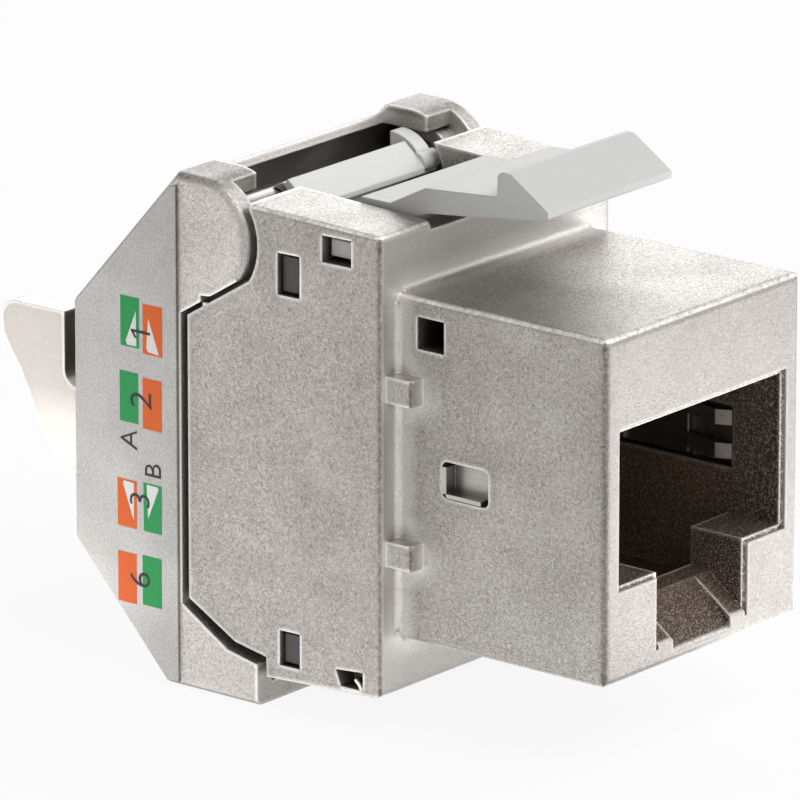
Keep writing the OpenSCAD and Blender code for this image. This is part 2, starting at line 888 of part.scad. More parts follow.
module terminal_block() {
    low = win_low_z;
    color([0.2, 0.2, 0.21])
        difference() {
            union() {
                block([-chamber_half + 0.5, chamber_half - 0.5], [board_back, block_back],
                    [mid_z + floor_wall + 0.2, shelf_bottom - 0.5]);
                both_sides() {
                    block([chamber_half - 1.8, chamber_half - fit], [board_back + 0.3, 5.9],
                        [shelf_bottom - 1, shelf_top + 0.3]);
                    block([chamber_half - 1, wall_x(5) - 0.2], [4.75, 5.73], [shelf_top - 1.45, shelf_top + 0.25]);
                    block([chamber_half - 1.8, chamber_half - fit], [board_back + 0.3, 5.72],
                        [chamber_low - 0.65, low + 1.2]);
                    block([chamber_half - 1, wall_x(5) - 0.2], [4.8, 5.68], [chamber_low - 0.61, chamber_low + 0.8]);
                }
            }
            for (i = [1:8])
                terminal_at(i)
                    block([-terminal_thick / 2 - fit, terminal_thick / 2 + fit], [board_back - 1, block_back + 1],
                        [-terminal_width / 2 - fit, terminal_width / 2 + fit]);
        }
}

// One cutting terminal: a forked blade with a tail in the board
module terminal_2d() {
    w = terminal_width / 2;
    s = terminal_slot / 2;
    tip = block_back + terminal_reach;
    root = tip - 3;
    difference() {
        polygon([[board_back, -w],
            [tip - 0.4, -w],
            [tip, -w + 0.3],
            [tip, w - 0.3],
            [tip - 0.4, w],
            [board_back, w]]);
        polygon([[root, -s],
            [tip - 0.5, -s],
            [tip + eps, -s - 0.35],
            [tip + eps, s + 0.35],
            [tip - 0.5, s],
            [root, s]]);
    }
    translate([board_seat + 0.2, -terminal_thick / 2])
        square([board_thick, terminal_thick]);
}

module terminal(i) {
    color([0.78, 0.76, 0.7])
        terminal_at(i)
            along_x(-terminal_thick / 2, terminal_thick / 2)
                terminal_2d();
}

// The bar over the hinge pin: a sloping plate with a short front edge
module bar_2d() {
    low = [-2.3, 1.09];
    high = [-1.3, 1.9];
    under = bar_wall * side_normal(low, high);
    translate([pivot_y, pivot_z])
        polygon([[low[0] - 0.23, 0.55],
            [low[0] - 0.22, 0.82],
            low,
            high,
            high + under,
            low + under,
            [low[0] + 0.2, 0.55]]);
}

// The rib that carries the bar, from the wire manager's front edge up to the bar
module rib_2d() {
    foot = [manager_front, shelf_bottom - 1];
    top = [pivot_y - rib_set, pivot_z + 1.2];
    polygon([foot,
        foot + [rib_wall, 0],
        top + [rib_wall, 0],
        top]);
}

module keeper_2d() {
    translate([pivot_y, pivot_z])
        difference() {
            circle(keeper_r);
            circle(pin_r + 0.15);
            translate([0.05, -4])
                square([4, 8]);
            translate([-4, -4])
                square([8, 4.3]);
        }
}

module manager_side() {
    low = tail_z + 2;
    polygon([[manager_front, low],
        [manager_front, shelf_bottom - 0.6],
        [pivot_y + keeper_r + 0.1, shelf_bottom - 0.6],
        [manager_back, rear_top],
        [manager_back, low + 0.6],
        [manager_back - 0.6, low]]);
}

module wire_manager() {
    side = chamber_half - 0.6;
    color([0.92, 0.92, 0.91])
        union() {
            difference() {
                along_x(-side, side)
                    manager_side();
                along_y(manager_front + 2.6, manager_back + 1)
                    translate([0, cable_z])
                        circle(cable_r + 0.15);
                along_y(manager_front - 1, manager_back + 1)
                    translate([0, cable_z])
                        circle(cable_r - 1.2);
                for (k = [-1.5:1:1.5])
                    block([-side - 1, side + 1], [manager_front - 1, manager_front + 1.5],
                        [k * terminal_pitch - 0.6, k * terminal_pitch + 0.6]);
                for (i = [1:8])
                    terminal_at(i)
                        block([-terminal_thick / 2 - 0.2, terminal_thick / 2 + 0.2],
                            [manager_front - 1, manager_front + terminal_reach + 0.3],
                            [-terminal_width / 2 - 0.15, terminal_width / 2 + 0.15]);
            }
            along_x(-bar_half, bar_half)
                bar_2d();
            along_x(-rib_half, rib_half)
                rib_2d();
            along_x(bar_half + 0.6, bar_half + 1.5)
                keeper_2d();
            both_sides()
                translate([bar_half - eps, pivot_y - 2.05, pivot_z + 0.98])
                    rotate([0, 90, 0])
                        cylinder(r = 0.46, h = 1.2);
        }
}

// One ground spring: two fingers that touch the plug and a lip that shows outside
module ground_spring() {
    x1 = port_half + spring_pocket - fit / 2;
    x0 = x1 - spring_thick;
    h = spring_height / 2 - fit;
    back = -spring_start - fit;
    root = back - sheet_length;
    tip = -spring_start - spring_length + fit + 0.03;
    knee = tip + 0.72;
    lip_low = -lip_drop - lip_window_high / 2 + fit;
    lip_back_y = -lip_y + lip_window / 2 - fit;
    color([0.82, 0.8, 0.76]) {
        block([x0, x1], [root, back], [-h, h]);
        for (z = [finger_rise + finger_gap / 2, finger_rise - finger_gap / 2 - finger_height])
            translate([0, 0, z])
                linear_extrude(finger_height)
                    polygon([[x0, root + eps],
                        [x1, root + eps],
                        [x1 - finger_bend + 0.05, knee - 0.02],
                        [x1 - finger_bend / 2, tip],
                        [x0 - finger_bend / 2, tip],
                        [x0 - finger_bend, knee + 0.03]]);
        block([x1 - eps, half_w + 0.12], [lip_back_y - spring_thick, lip_back_y], [lip_low + 0.18, lip_low + 1.45]);
        block([x1 - eps, half_w + 0.12], [lip_back_y - lip_window + 0.43, lip_back_y - spring_thick + eps],
            [lip_low, lip_low + 0.2]);
    }
}

// One side label, laid on the cover's side behind the ears
module label_2d() {
    x0 = cover_front + 0.15;
    e0 = [x0, ear_top - 0.6];
    e1 = [slant_y(ear_top - 0.6), ear_top - 0.6];
    a = [ear_back, ear_top];
    b = [cover_depth, rear_top];
    c = [cover_depth, -rear_bottom];
    d = [bottom_back, -cover_bottom];
    e = [heel_depth, -cover_bottom];
    polygon([[x0, ear_top - 0.6],
        e1 + label_margin * side_normal(a, b),
        mitre(a, b, c, label_margin),
        mitre(b, c, d, label_margin),
        mitre(c, d, e, label_margin),
        [x0, -cover_bottom + label_margin]]);
}

module wiring_label() {
    color([0.78, 0.78, 0.76])
        along_x(cover_half, cover_half + label_thick)
            label_2d();
}

front_housing();
rear_cover();
hinge_pin();
panel_latch();
contact_carrier();
contact(1);  // contact_1
contact(2);  // contact_2
contact(3);  // contact_3
contact(4);  // contact_4
contact(5);  // contact_5
contact(6);  // contact_6
contact(7);  // contact_7
contact(8);  // contact_8
circuit_board();
terminal_block();
terminal(1);  // terminal_1
terminal(2);  // terminal_2
terminal(3);  // terminal_3
terminal(4);  // terminal_4
terminal(5);  // terminal_5
terminal(6);  // terminal_6
terminal(7);  // terminal_7
terminal(8);  // terminal_8
wire_manager();
mirror([1, 0, 0]) ground_spring();  // ground_spring_left
ground_spring();  // ground_spring_right
mirror([1, 0, 0]) wiring_label();  // wiring_label_left
wiring_label();  // wiring_label_right
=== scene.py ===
"""Finishes, label print, stage and camera of the shielded modular jack, dressed round its packed CAD frame."""

import math
from functools import partial

import bmesh
import bpy
from bpy.props import FloatProperty, FloatVectorProperty, PointerProperty
from mathutils import Matrix, Vector


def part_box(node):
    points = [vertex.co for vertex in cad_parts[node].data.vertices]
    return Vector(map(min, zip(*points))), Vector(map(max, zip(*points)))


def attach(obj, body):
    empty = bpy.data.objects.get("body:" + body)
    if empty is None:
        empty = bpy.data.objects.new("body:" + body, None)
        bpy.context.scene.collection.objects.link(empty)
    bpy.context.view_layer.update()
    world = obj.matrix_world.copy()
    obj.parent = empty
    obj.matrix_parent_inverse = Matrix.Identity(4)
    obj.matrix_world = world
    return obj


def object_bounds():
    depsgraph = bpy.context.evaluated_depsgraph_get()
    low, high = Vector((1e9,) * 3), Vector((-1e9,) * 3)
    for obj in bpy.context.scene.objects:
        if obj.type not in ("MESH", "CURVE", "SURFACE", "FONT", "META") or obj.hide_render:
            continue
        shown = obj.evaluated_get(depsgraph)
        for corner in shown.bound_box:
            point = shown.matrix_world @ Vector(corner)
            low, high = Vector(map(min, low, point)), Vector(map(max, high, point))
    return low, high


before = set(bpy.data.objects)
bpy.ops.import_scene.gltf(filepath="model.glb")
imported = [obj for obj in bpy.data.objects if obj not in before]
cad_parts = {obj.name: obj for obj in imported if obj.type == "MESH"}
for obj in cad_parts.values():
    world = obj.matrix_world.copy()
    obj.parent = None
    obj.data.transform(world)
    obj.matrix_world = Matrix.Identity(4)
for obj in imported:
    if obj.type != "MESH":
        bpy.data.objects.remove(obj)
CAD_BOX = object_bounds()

bl_info = {
    "name": "Shielded modular jack",
    "version": (1, 0, 0),
    "blender": (4, 5, 0),
    "location": "3D View > Sidebar > Jack",
    "description": "Finishes, label print, floor, lamps and camera of the jack",
    "category": "Object",
}

MM = 0.001

# The plug opening: half its width, the plane of its mouth, and its lower and upper limits, in millimetres
PORT = (6.3, -12.0, -7.9, 5.7)

# Nodes that share a finish
CONTACTS = [f"contact_{i}" for i in range(1, 9)]
TERMINALS = [f"terminal_{i}" for i in range(1, 9)]
SPRINGS = ["ground_spring_left", "ground_spring_right"]
LABELS = ["wiring_label_left", "wiring_label_right"]

# The labels' coloured fields in millimetres behind the flange and above the box's centre.
# Each pair of rows has a rear field under letter A and a front field under letter B.
FIELDS = {
    "upper_striped": {"rear": (13.80, 14.93, 3.42, 5.85), "front": (12.40, 13.58, 3.25, 5.65)},
    "upper_solid": {"rear": (13.88, 15.00, -0.23, 2.21), "front": (12.46, 13.61, -0.37, 2.09)},
    "lower_striped": {"rear": (14.02, 15.18, -5.34, -3.02), "front": (12.50, 13.60, -5.33, -2.98)},
    "lower_solid": {"rear": (14.05, 15.18, -9.01, -6.57), "front": (12.53, 13.69, -8.93, -6.51)},
}
# White wedges that mark the striped wire of a pair
WEDGES = [
    [(13.99, 5.20), (14.61, 3.69), (14.52, 3.50), (13.97, 3.52)],
    [(13.24, 4.98), (13.36, 3.55), (13.27, 3.38), (12.60, 3.32)],
    [(14.20, -4.93), (14.18, -3.13), (14.79, -3.10), (14.84, -3.24)],
    [(13.32, -4.69), (12.68, -3.16), (12.74, -3.06), (13.40, -3.05)],
]
# Signs on the left label, at (Y, Z), with their height; the right label has its own digits
SIGNS = [(13.70, 4.12, 1.16), (13.72, 0.98, 1.26), (13.82, -3.88, 1.20), (13.85, -7.73, 1.20)]
LETTERS = [("A", 14.48, -1.04, 0.97), ("B", 13.02, -2.29, 0.94)]
DIGITS = {"left": "1236", "right": "5478"}

# Soft lamps: the property with their power, their place and their width in metres
LAMPS = {
    "right_lamp": ("right_power", (0.37, -0.22, 0.26), 0.30),
    "top_lamp": ("top_power", (0.02, -0.33, 0.41), 0.46),
    "back_lamp": ("back_power", (0.37, 0.30, 0.20), 0.32),
}
# Cards on the floor: the property with their power, their place and size in metres, and their turn
CARDS = {
    "key_card": ("key_power", (0.0370, -0.0424), (0.085, 0.056), -0.683),
    "side_card": ("side_power", (-0.0261, 0.0631), (0.090, 0.053), -0.683),
    "near_card": ("near_power", (-0.017, 0.008), (0.016, 0.044), 0.0),
}
FLOOR_HALF = 1.5
FLOOR_WHITE = 0.9

# The camera's place in metres, and its right, up and backward directions
CAMERA_PLACE = (-0.36115, -0.28779, 0.14220)
CAMERA_AXES = ((0.63068, -0.77605, 0.0), (0.22624, 0.18386, 0.95656), (-0.74233, -0.60328, 0.29154))


def tint(name, description, default):
    """A colour that a user may change."""
    return FloatVectorProperty(name=name, description=description, subtype="COLOR", size=3,
                               min=0.0, max=1.0, default=default)


def length(name, description, default):
    """A length in metres that a user may change."""
    return FloatProperty(name=name, description=description, unit="LENGTH", precision=6,
                         min=0.0, default=default)


def share(name, description, default):
    """A number from nought to one that a user may change."""
    return FloatProperty(name=name, description=description, subtype="FACTOR",
                         min=0.0, max=1.0, default=default)


def power(name, description, default):
    """A lamp's power that a user may change."""
    return FloatProperty(name=name, description=description, unit="POWER", min=0.0, default=default)


class JackMetal(bpy.types.PropertyGroup):
    """Colours and grain of the metal pieces"""
    cast_dark: tint("Casting, dark", "Darkest tone of the plated die-cast zinc", (0.212, 0.197, 0.182))
    cast_light: tint("Casting, light", "Lightest tone of the plated die-cast zinc", (0.42, 0.401, 0.382))
    # Painted highlight: this tone stands in for light on edges, fillets, the flange strip and glints inside
    # the port
    cast_highlight: tint("Casting, edges", "Tone of edges highlighted bright", (0.86, 0.84, 0.81))
    # Dark specks of the grain, and painted shade in inner corners, beside edges and along upright edge crests;
    # it also darkens the film's edges
    cast_speck_and_shade: tint("Casting, corners", "Tone of shadowed inner corners", (0.085, 0.060, 0.042))
    # Painted shade: the tone laid deep in hollows and on faces that look up inside the port
    cast_hollow_shade: tint("Casting, hollows", "Tone deep inside openings", (0.055, 0.031, 0.018))
    # Painted shade: the dark brown tone of the walls inside the plug opening
    cast_port_shade: tint("Casting, port", "Tone of the walls inside the plug opening", (0.15, 0.096, 0.064))
    cast_roughness: share("Casting, roughness", "Roughness of the die-cast skin", 0.40)
    grain_size: length("Grain", "Size of the sandy grain", 0.12 * MM)
    cloud_size: length("Clouds", "Size of the slow patches", 2.6 * MM)
    # Width of the edges that get the painted highlight
    edge_width: length("Edge width", "Radius of the highlighted edges", 0.24 * MM)
    pin_tint: tint("Hinge pin", "Tone of the ground steel pin", (0.34, 0.33, 0.32))
    spring_tint: tint("Ground springs", "Tone of the tinned spring sheet", (0.45, 0.435, 0.41))
    contact_tint: tint("Contacts", "Tone of the gilt contact wires", (0.83, 0.62, 0.28))
    terminal_tint: tint("Terminals", "Tone of the tinned cutting terminals", (0.60, 0.58, 0.54))


class JackPlastic(bpy.types.PropertyGroup):
    """Colours of the moulded pieces and the board"""
    latch_tint: tint("Panel latch", "Light grey of the moulded latch", (0.63, 0.63, 0.622))
    latch_round: length("Latch rounding", "Radius of the latch's moulded edges", 0.2 * MM)
    manager_tint: tint("Wire manager", "White of the wire manager", (0.78, 0.78, 0.77))
    carrier_tint: tint("Contact carrier", "Black of the contact carrier", (0.022, 0.022, 0.023))
    block_tint: tint("Terminal block", "Dark grey of the terminal block", (0.027, 0.0258, 0.0245))
    board_tint: tint("Circuit board", "Green of the board's lacquer", (0.012, 0.075, 0.03))
    laminate_tint: tint("Laminate", "Tone of the board's bare edges", (0.34, 0.30, 0.16))
    skin_size: length("Skin", "Size of the moulded skin's texture", 0.12 * MM)


class JackPrint(bpy.types.PropertyGroup):
    """Colours and thickness of the labels' print"""
    film_tint: tint("Film", "Tone of the clear film on the casting", (0.300, 0.293, 0.281))
    green_tint: tint("Green", "Green of the wire fields", (0.022, 0.31, 0.085))
    orange_tint: tint("Orange", "Orange of the wire fields", (0.76, 0.135, 0.022))
    blue_tint: tint("Blue", "Blue of the wire fields", (0.02, 0.13, 0.48))
    brown_tint: tint("Brown", "Brown of the wire fields", (0.22, 0.085, 0.03))
    white_tint: tint("White", "White of the wedges in striped fields", (0.78, 0.78, 0.77))
    sign_tint: tint("Signs", "Dark grey of digits and letters", (0.035, 0.035, 0.042))
    print_thick: length("Print thickness", "How far each layer of print stands out", 0.008 * MM)


class JackStage(bpy.types.PropertyGroup):
    """Floor, lamps and camera"""
    floor_tint: tint("Floor", "Colour of the plain floor", (0.90, 0.90, 0.90))
    key_power: power("Key lamp", "Power of the card on the floor in front", 0.0362)
    right_power: power("Right lamp", "Power of the lamp in front on the right", 0.45)
    top_power: power("Top lamp", "Power of the lamp overhead", 1.6)
    back_power: power("Back lamp", "Power of the lamp behind on the right", 0.66)
    side_power: power("Side lamp", "Power of the card on the floor on the left, behind", 0.034)
    near_power: power("Near lamp", "Power of the card on the floor close to the left side", 0.0022)
    ambient: share("Ambient", "Light from all round on surfaces that scatter it", 0.35)
    lens: FloatProperty(name="Lens", description="Focal length of the camera, in millimetres",
                        min=10.0, default=472.5)


class Strand:
    """A shader socket that takes part in Python sums: each sum adds its Math node."""

    def __init__(self, paint, socket):
        self.paint = paint
        self.socket = socket

    def _math(self, operation, first, second):
        return self.paint.node("ShaderNodeMath", {"operation": operation}, [first, second])

    def __add__(self, other):
        return self._math("ADD", self, other)

    def __radd__(self, other):
        return self._math("ADD", other, self)

    def __sub__(self, other):
        return self._math("SUBTRACT", self, other)

    def __rsub__(self, other):
        return self._math("SUBTRACT", other, self)

    def __mul__(self, other):
        return self._math("MULTIPLY", self, other)

    def __rmul__(self, other):
        return self._math("MULTIPLY", other, self)

    def __or__(self, other):
        return self._math("MAXIMUM", self, other)

    def __ror__(self, other):
        return self._math("MAXIMUM", other, self)


class Paint:
    """A node tree that finishes are written in."""

    def __init__(self, tree):
        self.tree = tree
        tree.nodes.clear()

    def node(self, kind, settings=None, sockets=None, output=0):
        """Adds a node: its settings first, then the values or links of its sockets."""
        made = self.tree.nodes.new(kind)
        for key, value in (settings or {}).items():
            setattr(made, key, value)
        pairs = enumerate(sockets) if isinstance(sockets, list) else (sockets or {}).items()
        for key, value in pairs:
            if isinstance(value, Strand):
                self.tree.links.new(value.socket, made.inputs[key])
            else:
                made.inputs[key].default_value = value
        return Strand(self, made.outputs[output]) if made.outputs else None

    def place(self):
        """Where a point lies on its piece, in millimetres."""
        spot = self.node("ShaderNodeTexCoord", output="Object")
        return self.node("ShaderNodeVectorMath", {"operation": "SCALE"}, {0: spot, "Scale": 1 / MM})

    def split(self, vector):
        """The X, Y and Z parts of a vector."""
        parts = self.node("ShaderNodeSeparateXYZ", {}, [vector]).socket.node.outputs
        return [Strand(self, part) for part in parts]

    def noise(self, spot, size, detail=2.0, roughness=0.5, curl=0.0):
        """Noise from nought to one with features of a size in metres, curled into threads."""
        return self.node("ShaderNodeTexNoise", {}, {"Vector": spot, "Scale": MM / size, "Detail": detail,
                                                    "Roughness": roughness, "Distortion": curl})

    def span(self, value, low, high):
        """A value's place between two limits, kept from nought to one."""
        return self.node("ShaderNodeMapRange", {"clamp": True}, {0: value, 1: low, 2: high})

    def mix(self, factor, first, second):
        """A colour between two others."""
        return self.node("ShaderNodeMix", {"data_type": "RGBA"},
                         {0: factor, 6: colour(first), 7: colour(second)}, 2)

    def edge(self, radius):
        """A normal rounded at edges, and how far it leaves the flat one there."""
        rounded = self.node("ShaderNodeBevel", {"samples": 6}, {"Radius": radius})
        flat = self.node("ShaderNodeNewGeometry", output="Normal")
        agree = self.node("ShaderNodeVectorMath", {"operation": "DOT_PRODUCT"}, [rounded, flat], "Value")
        return rounded, self.span(1 - agree, 0.02, 0.22)

    def rim(self, reach, low=0.12, high=0.55):
        """One on rounded and sharp outer edges, nought where a piece is thicker than the reach."""
        inside = self.node("ShaderNodeAmbientOcclusion", {"samples": 6, "inside": True, "only_local": True},
                           {"Distance": reach}, "AO")
        return self.span(1 - inside, low, high)

    def openness(self, reach, own=False):
        """Nought in inner corners and one in the open, as far as a piece or all pieces close it."""
        return self.node("ShaderNodeAmbientOcclusion", {"samples": 6, "only_local": own},
                         {"Distance": reach}, "AO")

    def bump(self, height, depth, normal=None):
        """A normal from a height between nought and one, with its depth in metres."""
        sockets = {"Strength": 1.0, "Distance": depth, "Height": height}
        if normal:
            sockets["Normal"] = normal
        return self.node("ShaderNodeBump", {}, sockets)

    def surface(self, **sockets):
        """Ends a material in one Principled shader; names use _ for a space."""
        named = {key.replace("_", " "): value for key, value in sockets.items()}
        shader = self.node("ShaderNodeBsdfPrincipled", {}, named)
        self.node("ShaderNodeOutputMaterial", {}, {"Surface": shader})


def colour(value):
    """A colour socket's value from a property or a strand."""
    return value if isinstance(value, Strand) else (*value, 1.0)


def shaded(shade, gain):
    """A colour made darker or lighter."""
    return [min(1.0, gain * part) for part in shade]


def new_finish(name):
    """A material and the paint that fills its tree."""
    material = bpy.data.materials.new(name)
    material.use_nodes = True
    return material, Paint(material.node_tree)


def dress(names, material):
    """Gives CAD nodes a finish in place of their plain one."""
    for name in names:
        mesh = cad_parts[name].data
        mesh.materials.clear()
        mesh.materials.append(material)


def soften(name, width):
    """Rounds the sharp edges of a CAD node a little, as moulding leaves them."""
    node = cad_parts[name]
    weld = node.modifiers.new("weld", "WELD")
    weld.merge_threshold = 0.001 * MM
    round_off = node.modifiers.new("round_off", "BEVEL")
    round_off.width = width
    round_off.segments = 4
    round_off.limit_method = "ANGLE"
    round_off.angle_limit = math.radians(35.0)
    node.data.shade_smooth()
    node.modifiers.new("weighted", "WEIGHTED_NORMAL")


def port_shade_and_glints(paint, spot, upward, metal, port):
    """The plug opening's inside: where it lies, its walls painted dark as shade with painted glints, and where
    it looks up.
    """
    half, face, low, high = port
    x, y, z = paint.split(spot)
    inside = paint.span(half * half - x * x, 0.0, 0.1) * paint.span(z, low, low + 0.05)
    inside = inside * paint.span(high - z, 0.0, 0.05) * paint.span(y, face + 0.03, face + 0.2)
    depth = paint.span(y, face, face + 5.0)
    raised = paint.span(upward, 0.3, 0.6)
    glint = paint.span(paint.noise(spot, 0.7 * metal.grain_size, 2.0), 0.50, 0.66)
    # Painted shade on the walls: darker at the mouth, lighter deeper in
    wall = paint.mix(depth, shaded(metal.cast_port_shade, 0.5), shaded(metal.cast_port_shade, 2.6))
    # Painted shade on faces that look up, stronger deeper in
    wall = paint.mix(raised * (0.72 + 0.26 * depth), wall, metal.cast_hollow_shade)
    # Painted glints, fewer deeper in and on faces that look up
    wall = paint.mix((0.8 - 0.3 * depth) * (1 - 0.65 * raised) * glint, wall, metal.cast_highlight)
    return inside, wall, raised


def edge_crests(paint, spot, normal, metal):
    """Ragged crests of rounded edges: those that turn to the top, for a painted highlight, and those that
    stand upright, for painted shade.
    """
    across, facing, upward = normal
    slant = 1 - paint.span((across * across) | (facing * facing) | (upward * upward), 0.66, 0.92)
    ragged = paint.span(paint.noise(spot, 2.2 * metal.grain_size, 3.0, 0.7), 0.36, 0.60)
    crest = paint.rim(4.0 * metal.edge_width, 0.06, 0.22) * slant * (0.4 + 0.6 * ragged)
    turned = paint.span(upward * upward, 0.12, 0.32)
    return crest * turned, crest * (1 - turned)


def cast_finish(name, metal, port=None, smooth_from=None, patchy_from=None, closed=0.55, gain=1.0, grainy=1.0):
    """Nickel-plated die-cast zinc: sandy grain, slow patches, painted highlights on edges and fillets, and
    painted shade beside edges, in corners and in hollows.
    Inside the port's box it is painted dark as shade, behind smooth_from it has no grain, above patchy_from it
    is darker in patches, hollows are painted dark as shade up to closed, gain lightens it as painted light and
    grainy is the strength of its grain."""
    material, paint = new_finish(name)
    spot = paint.place()
    normal = paint.split(paint.node("ShaderNodeNewGeometry", output="Normal"))
    facing, upward = normal[1:]
    flat = paint.span(facing * facing, 0.5, 0.9)
    topped = paint.span(upward, 0.6, 0.9)

    # Grain and slow patches
    cloud = paint.noise(spot, metal.cloud_size, 3.0)
    grain = paint.noise(spot, 1.2 * metal.grain_size, 3.0, 0.65, curl=1.2)
    speck = paint.span(paint.noise(spot, 0.55 * metal.grain_size, 1.0), 0.60, 0.72)
    tone = paint.span(0.8 * grain + 0.2 * cloud, 0.38, 0.62)
    # Painted light: faces that look up are painted lighter, and their grain is stronger
    tone = 0.5 + 0.12 * topped + grainy * (tone - 0.5) * (1 - 0.5 * flat + 1.1 * topped)
    rough = metal.cast_roughness - 0.08 * topped + 0.16 * (grain - 0.5)
    height = grain - 0.5 * speck
    if smooth_from is not None:
        smooth = paint.span(paint.split(spot)[1], smooth_from, smooth_from + 0.4)
        tone = tone * (1 - 0.7 * smooth) + 0.1 * smooth
        height = height * (1 - 0.8 * smooth)
        speck = speck * (1 - smooth)
    base = paint.mix(tone, shaded(metal.cast_dark, gain), shaded(metal.cast_light, gain))
    base = paint.mix(0.35 * speck, base, metal.cast_speck_and_shade)
    # Near the crest, darker patches in the tone
    if patchy_from is not None:
        dark_patches = paint.span(paint.split(spot)[2], patchy_from, patchy_from + 0.3)
        dark_patches = dark_patches * paint.span(grain + 0.4 * cloud, 0.54, 0.74)
        base = paint.mix(dark_patches, base, shaded(metal.cast_dark, 0.55))

    # Painted highlights on edges, fillets and the flange; painted shade beside edges, in corners and in
    # hollows
    edge = paint.rim(metal.edge_width)
    shade_beside_edges = paint.rim(2.4 * metal.edge_width) * (1 - edge)
    openness = paint.openness(0.5 * MM)
    # Mask for painted light in concave fillets
    fillet_light = 1 - paint.span(paint.openness(1.3 * MM, own=True), 0.50, 1.0)
    shade_in_hollows = 1 - paint.span(paint.openness(14 * MM, own=True), 0.10, closed)
    # The painted highlight starts on the edges; the painted shade in hollows starts from the hollow tone
    bright, deep = edge, metal.cast_hollow_shade
    if port:
        inside, wall, raised = port_shade_and_glints(paint, spot, upward, metal, port)
        rough = rough + 0.35 * raised * inside
        # Inside the port the painted shade takes the port's painted wall tone
        deep = paint.mix(inside, deep, wall)
        shade_in_hollows = shade_in_hollows | 0.96 * inside
        fillet_light = fillet_light * (1 - inside)
        y = paint.split(spot)[1]
        # Painted light on the forward-facing strip of the flange
        flange = paint.span(-1 * facing, 0.7, 0.9) * paint.span(y, -1.0, -0.5) * (1 - paint.span(y, 0.5, 1.0))
        base = paint.mix(0.34 * flange, base, metal.cast_highlight)
    # Painted light in concave fillets
    base = paint.mix(fillet_light, base, metal.cast_highlight)
    # Painted shade: a thin dark line beside edges
    base = paint.mix(0.15 * shade_beside_edges, base, metal.cast_speck_and_shade)
    if port:
        top_crest_highlight, upright_crest_shade = edge_crests(paint, spot, normal, metal)
        # Painted shade along upright edge crests
        base = paint.mix(0.9 * upright_crest_shade, base, metal.cast_speck_and_shade)
        mouth = 1 - paint.span(y, port[1] + 0.02, port[1] + 0.08)
        # Crests that turn to the top join the painted highlight, which fades at the port's mouth
        bright = (edge * (1 - 0.75 * upright_crest_shade) | top_crest_highlight) * (1 - 0.7 * mouth)
    # Painted highlight on open edges
    base = paint.mix(0.9 * bright * openness, base, metal.cast_highlight)
    # Painted shade in inner corners
    base = paint.mix(0.6 * (1 - paint.span(openness, 0.05, 0.4)), base, metal.cast_speck_and_shade)
    # Painted shade deep in hollows and inside the port
    base = paint.mix(shade_in_hollows, base, deep)
    if port:
        # Painted highlight on edges inside the port
        base = paint.mix(0.7 * edge * inside, base, metal.cast_highlight)

    rounded = paint.node("ShaderNodeBevel", {"samples": 6}, {"Radius": 0.6 * metal.edge_width})
    paint.surface(Base_Color=base, Metallic=0.9, Roughness=rough,
                  Normal=paint.bump(height, 0.03 * MM, rounded))
    return material


def sheet_finish(name, shade, roughness, grain_size):
    """Drawn or stamped metal: fine lines of a bright sheet, a painted highlight on edges and painted shade in
    hollows.
    """
    material, paint = new_finish(name)
    spot = paint.place()
    along = paint.node("ShaderNodeVectorMath", {"operation": "MULTIPLY"}, [spot, (1.0, 0.15, 1.0)])
    lines = paint.noise(along, grain_size, 3.0, 0.6)
    rounded, edge = paint.edge(0.05 * MM)
    shade_in_hollows = 1 - paint.span(paint.openness(3 * MM), 0.25, 0.75)
    base = paint.mix(lines, shaded(shade, 0.72), shaded(shade, 1.18))
    # Painted highlight on edges
    base = paint.mix(0.5 * edge, base, shaded(shade, 1.45))
    # Painted shade in hollows
    base = paint.mix(0.85 * shade_in_hollows, base, shaded(shade, 0.3))
    paint.surface(Base_Color=base, Metallic=1.0, Roughness=roughness + 0.12 * (lines - 0.5),
                  Normal=paint.bump(lines, 0.004 * MM, rounded))
    return material


def moulded_finish(name, shade, skin_size, roughness, edge_highlight_gain=1.12, sheen=0.5):
    """Moulded plastic: a fine skin, slow patches of tone, a painted highlight on edges and painted shade in
    corners.
    """
    material, paint = new_finish(name)
    spot = paint.place()
    skin = paint.noise(spot, skin_size, 2.0)
    slow = paint.noise(spot, 20 * skin_size, 2.0)
    rounded, edge = paint.edge(0.14 * MM)
    openness = paint.openness(0.8 * MM)
    base = paint.mix(0.5 * skin + 0.5 * slow, shaded(shade, 0.95), shaded(shade, 1.05))
    # Painted highlight on edges
    base = paint.mix(0.6 * edge, base, shaded(shade, edge_highlight_gain))
    # Painted shade in corners
    base = paint.mix(0.35 * (1 - openness), base, shaded(shade, 0.45))
    paint.surface(Base_Color=base, Specular_IOR_Level=sheen, Roughness=roughness + 0.1 * (skin - 0.5),
                  Normal=paint.bump(skin, 0.006 * MM, rounded))
    return material


def board_finish(name, plastic):
    """Lacquered board: tracks under the lacquer and bare laminate at its edges."""
    material, paint = new_finish(name)
    spot = paint.place()
    weave = paint.node("ShaderNodeTexWave", {"bands_direction": "Z"},
                       {"Vector": spot, "Scale": 0.9, "Distortion": 3.0, "Detail": 1.0})
    track = paint.span(weave, 0.62, 0.70)
    fine = paint.noise(spot, 0.2 * MM, 2.0)
    facing = paint.split(paint.node("ShaderNodeNewGeometry", output="Normal"))[1]
    flat = paint.span(facing * facing, 0.6, 0.8)
    base = paint.mix(track, plastic.board_tint, shaded(plastic.board_tint, 1.9))
    base = paint.mix(0.3 * fine, base, shaded(plastic.board_tint, 0.6))
    base = paint.mix(flat, plastic.laminate_tint, base)
    paint.surface(Base_Color=base, Roughness=0.32 + 0.2 * fine, Normal=paint.bump(track, 0.01 * MM))
    return material


